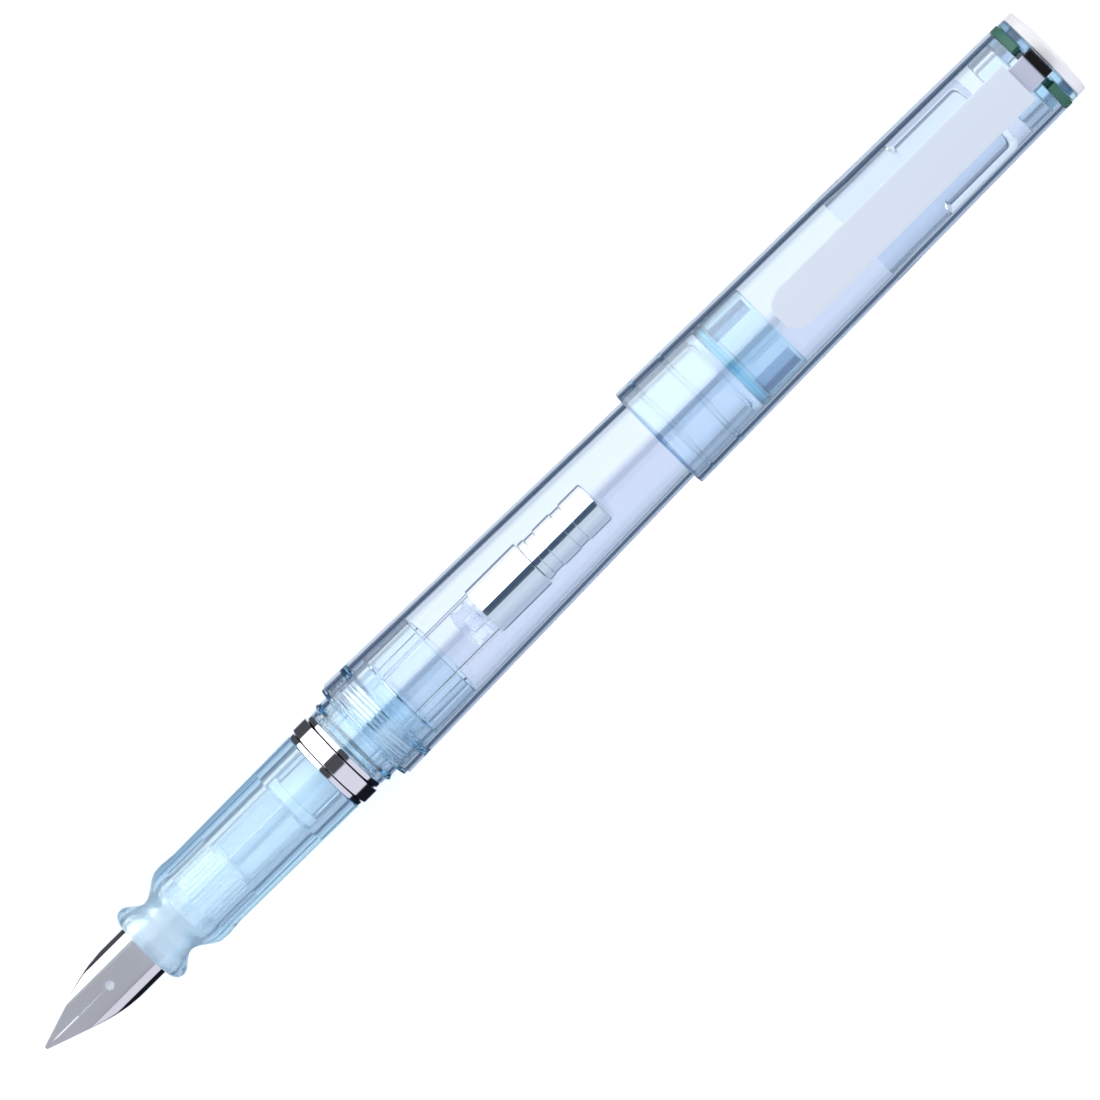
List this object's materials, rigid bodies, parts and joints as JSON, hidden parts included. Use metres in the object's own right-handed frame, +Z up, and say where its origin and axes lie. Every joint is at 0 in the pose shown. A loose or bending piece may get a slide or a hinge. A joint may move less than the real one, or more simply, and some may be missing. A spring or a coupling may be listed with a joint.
{
  "type": "fountain pen",
  "caption": "Clear fountain pen with its cap posted on the barrel's rear end: steel nib, screw-in grip with a piston ink converter, and a sprung clip on the cap.",
  "frame": {"origin": "on the surface that the pen lies on, under the middle of the posted pen", "axes": "+X along the pen from the nib to the cap's finial, +Z up through the nib's upper face and the clip"},
  "size_m": [0.1592, 0.014, 0.015],
  "materials": {
    "clear_plastic": "clear, moulded and polished",
    "blue_plastic": "clear pale blue, moulded and polished",
    "milky_plastic": "hazy, nearly colourless",
    "nib_steel": "polished steel with a satin top",
    "chrome": "bright plated",
    "satin_metal": "pearl satin",
    "white_plastic": "satin white",
    "green_rubber": "matte",
    "seal_rubber": "matte translucent"
  },
  "bodies": {
    "barrel": {"barrel_tube": "clear_plastic", "barrel_insert": "blue_plastic"},
    "ring": {"trim_ring": "chrome"},
    "grip": {"grip_section": "blue_plastic", "feed_collar": "milky_plastic", "feed": "milky_plastic", "nib": "nib_steel"},
    "converter": {"converter_mouth": "milky_plastic", "converter_tube": "clear_plastic", "converter_sleeve": "chrome", "piston_guide": "white_plastic"},
    "knob": {"converter_knob": "chrome", "drive_screw": "white_plastic"},
    "piston": {"piston_rod": "white_plastic", "piston_seal": "seal_rubber"},
    "cap": {"cap_tube": "clear_plastic", "cap_insert": "blue_plastic", "inner_cap": "clear_plastic", "cap_plug": "blue_plastic", "cap_gasket": "green_rubber", "finial": "white_plastic"},
    "clip": {"clip": "satin_metal"}
  },
  "joints": [
    {"name": "ring_turn", "type": "hinge", "parent": "barrel", "child": "ring", "pos_m": [-0.03369, 0, 0.00697], "axis": [-1, 0, 0], "range_deg": [0, 1080]},
    {"name": "grip_travel", "type": "slide", "parent": "ring", "child": "grip", "axis": [-1, 0, 0], "range_m": [0, 0.0033]},
    {"name": "converter_pull", "type": "slide", "parent": "grip", "child": "converter", "axis": [1, 0, 0], "range_m": [0, 0.006]},
    {"name": "knob_turn", "type": "hinge", "parent": "converter", "child": "knob", "pos_m": [0.0027, 0, 0.00697], "axis": [1, 0, 0], "range_deg": [0, 1350]},
    {"name": "piston_travel", "type": "slide", "parent": "converter", "child": "piston", "axis": [-1, 0, 0], "range_m": [0, 0.015]},
    {"name": "cap_pull", "type": "slide", "parent": "barrel", "child": "cap", "axis": [1, 0, 0], "range_m": [0, 0.03]},
    {"name": "clip_lift", "type": "hinge", "parent": "cap", "child": "clip", "pos_m": [0.07778, 0, 0.01317], "axis": [0, 1, 0], "range_deg": [0, 3], "stiffness_Nm_per_rad": 0.1}
  ],
  "couplings": [
    {"joint": "ring_turn", "follows": "grip_travel", "rad_per_m": 5712},
    {"joint": "knob_turn", "follows": "piston_travel", "rad_per_m": 1570.8}
  ]
}
